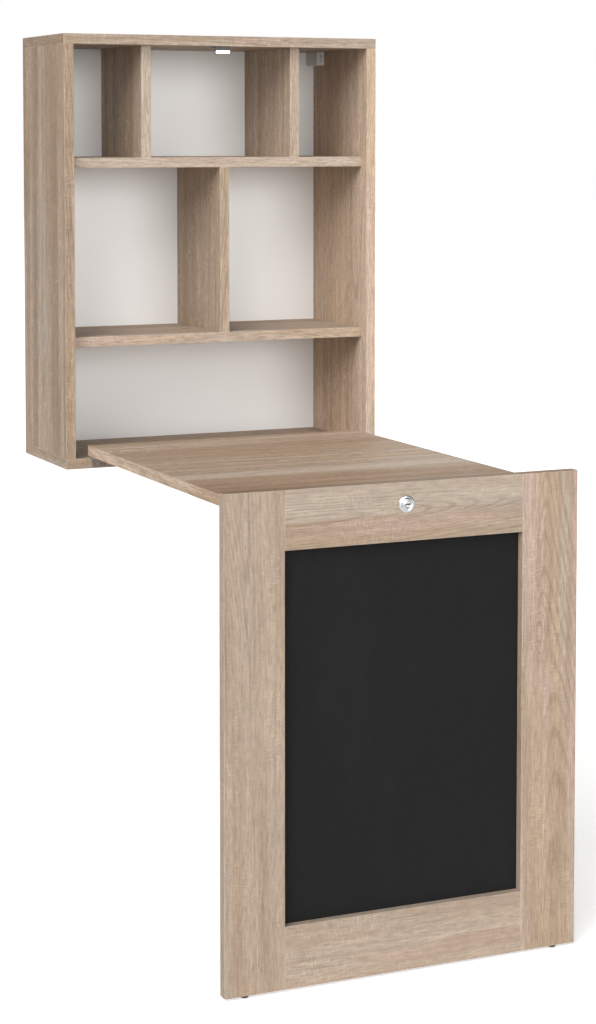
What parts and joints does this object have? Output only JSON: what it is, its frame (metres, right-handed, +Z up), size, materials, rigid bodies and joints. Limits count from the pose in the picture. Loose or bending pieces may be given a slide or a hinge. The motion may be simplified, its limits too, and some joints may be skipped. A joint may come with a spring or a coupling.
{
  "type": "fold-down wall desk",
  "caption": "Wall-hung box of open shelves with a fold-down writing top, carried at its far end by a hinged blackboard panel that stands on the floor and locks over the box when folded.",
  "frame": {"origin": "centre of the box's back, on the wall plane", "axes": "+Z up, front faces -Y, +Y into the wall, +X to the right seen from the front"},
  "size_m": [0.6, 0.9658, 1.461],
  "materials": {
    "oak_laminate": "satin laminate with a rough-sawn oak decor",
    "white_back": "white foiled hardboard, satin",
    "chalkboard": "matt black chalkboard coating",
    "hinge_steel": "bright zinc-plated steel",
    "lock_chrome": "polished",
    "lock_plug_steel": "fine turned face",
    "lock_steel": "zinc-plated",
    "hanger_white": "moulded, satin",
    "zinc_steel": "bright zinc-plated",
    "cam_zinc": "die-cast, plain",
    "dowel_beech": "raw beech",
    "glide_plastic": "moulded, dark",
    "strike_dark": "dark coated steel",
    "strike_bright": "bright edge"
  },
  "bodies": {
    "carcass": {"back_nails": "zinc_steel", "back_panel": "white_back", "bottom_panel": "oak_laminate", "carcass_dowels": "dowel_beech", "carcass_screws": "zinc_steel", "divider_lower": "oak_laminate", "divider_upper_left": "oak_laminate", "divider_upper_right": "oak_laminate", "hanger_adjusting_screws": "zinc_steel", "hanger_fixing_screws": "zinc_steel", "hanger_hook_left": "zinc_steel", "hanger_hook_right": "zinc_steel", "hanger_housing_left": "hanger_white", "hanger_housing_right": "hanger_white", "shelf_cam_bolts": "zinc_steel", "shelf_cams": "cam_zinc", "shelf_lower": "oak_laminate", "shelf_upper": "oak_laminate", "side_panel_left": "oak_laminate", "side_panel_right": "oak_laminate", "strike_bracket": "strike_dark", "strike_lip": "strike_bright", "strike_rivets": "zinc_steel", "strike_screws": "zinc_steel", "top_hinge_box_leaf_left": "hinge_steel", "top_hinge_box_leaf_right": "hinge_steel", "top_hinge_box_screws": "zinc_steel", "top_hinge_pins": "hinge_steel", "top_panel": "oak_laminate"},
    "writing_top": {"writing_top": "oak_laminate", "top_hinge_top_leaf_left": "hinge_steel", "top_hinge_top_leaf_right": "hinge_steel", "top_hinge_top_screws": "zinc_steel", "leg_hinge_top_leaf_left": "hinge_steel", "leg_hinge_top_leaf_right": "hinge_steel", "leg_hinge_top_screws": "zinc_steel", "leg_hinge_pins": "hinge_steel"},
    "leg_panel": {"panel_stile_left": "oak_laminate", "panel_stile_right": "oak_laminate", "panel_rail_top": "oak_laminate", "panel_rail_bottom": "oak_laminate", "panel_dowels": "dowel_beech", "blackboard": "chalkboard", "blackboard_screws": "zinc_steel", "glides": "glide_plastic", "leg_hinge_panel_leaf_left": "hinge_steel", "leg_hinge_panel_leaf_right": "hinge_steel", "leg_hinge_panel_screws": "zinc_steel", "lock_rosette": "lock_chrome", "lock_barrel": "lock_chrome", "lock_nut": "lock_steel"},
    "lock": {"lock_plug": "lock_plug_steel", "lock_cam": "lock_steel", "lock_cam_screw": "zinc_steel"}
  },
  "joints": [
    {"name": "top_fold", "type": "hinge", "parent": "carcass", "child": "writing_top", "pos_m": [0, -0.2412, -0.3602], "axis": [-1, 0, 0], "range_deg": [0, 90]},
    {"name": "leg_fold", "type": "hinge", "parent": "writing_top", "child": "leg_panel", "pos_m": [0, -0.9388, -0.3606], "axis": [1, 0, 0], "range_deg": [0, 90]},
    {"name": "lock_turn", "type": "hinge", "parent": "leg_panel", "child": "lock", "pos_m": [0, -0.95, -0.354], "axis": [0, 1, 0], "range_deg": [0, 90]}
  ],
  "couplings": [
    {"joint": "leg_fold", "follows": "top_fold", "ratio": 1}
  ]
}
